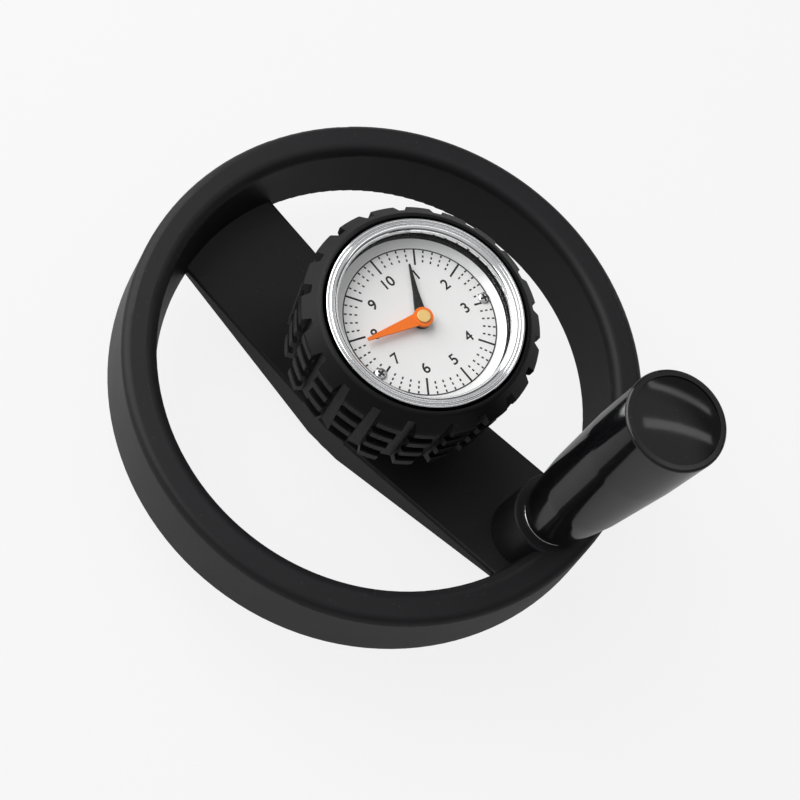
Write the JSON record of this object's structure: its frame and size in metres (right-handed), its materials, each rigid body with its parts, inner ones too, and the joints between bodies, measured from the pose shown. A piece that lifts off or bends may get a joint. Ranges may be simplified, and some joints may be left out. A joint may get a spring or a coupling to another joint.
{
  "type": "indicator handwheel",
  "caption": "Black handwheel with a turning handle on its rim and a round position indicator in the hub, whose weight-driven pointers show turns on a white dial.",
  "frame": {"origin": "centre of the shaft bore at the hub's rear face", "axes": "+Z along the shaft axis towards the dial, +X from the axis towards the turning handle"},
  "size_m": [0.1598, 0.1598, 0.1232],
  "materials": {
    "wheel_black": "satin",
    "handle_black": "gloss",
    "case_black": "satin",
    "tread_rubber": "matte",
    "seal_rubber": "matte",
    "steel": "bright",
    "bezel_chrome": "polished",
    "window_glass": "clear",
    "cone_aluminium": "satin",
    "dial_white": "matte",
    "brass": "turned",
    "pointer_black": "satin",
    "pointer_orange": "satin"
  },
  "bodies": {
    "wheel": {"wheel_body": "wheel_black", "hub_bush": "steel", "shaft_set_screw": "steel", "indicator_clamp_screw": "steel", "handle_spindle": "steel", "thrust_washer": "steel", "spindle_washer": "steel", "spindle_screw": "steel", "indicator_case": "case_black", "rear_bearing": "brass", "grip_ring": "tread_rubber", "bezel_ring": "bezel_chrome", "window_gasket": "seal_rubber", "window": "window_glass", "dial_cone": "cone_aluminium", "dial_plate": "dial_white", "dial_screws": "steel", "dial_posts": "brass", "back_plate": "brass", "front_plate": "brass", "plate_pillars": "brass", "pillar_screws": "steel", "movement_screws": "steel", "idler_stud": "steel"},
    "handle": {"handle_grip": "handle_black", "handle_cap": "handle_black"},
    "pendulum": {"arbor": "brass", "pendulum_weight": "brass", "drive_pinion": "brass", "turn_pointer": "pointer_orange"},
    "idler": {"idler_wheel": "brass", "idler_pinion": "brass"},
    "counter": {"pointer_wheel": "brass", "pointer_tube": "brass", "count_pointer": "pointer_black"}
  },
  "joints": [
    {"name": "handle_spin", "type": "hinge", "parent": "wheel", "child": "handle", "pos_m": [0.0638, 0, 0.0446], "axis": [0, 0, 1], "continuous": true},
    {"name": "pendulum_turn", "type": "hinge", "parent": "wheel", "child": "pendulum", "pos_m": [0, 0, 0.0203], "axis": [0, 0, 1], "continuous": true},
    {"name": "idler_turn", "type": "hinge", "parent": "wheel", "child": "idler", "pos_m": [0.00977, 0.00356, 0.0491], "axis": [0, 0, 1], "continuous": true},
    {"name": "counter_turn", "type": "hinge", "parent": "wheel", "child": "counter", "pos_m": [0, 0, 0.0536], "axis": [0, 0, 1], "continuous": true}
  ],
  "couplings": [
    {"joint": "idler_turn", "follows": "pendulum_turn", "ratio": -0.33333},
    {"joint": "counter_turn", "follows": "pendulum_turn", "ratio": 0.1}
  ]
}
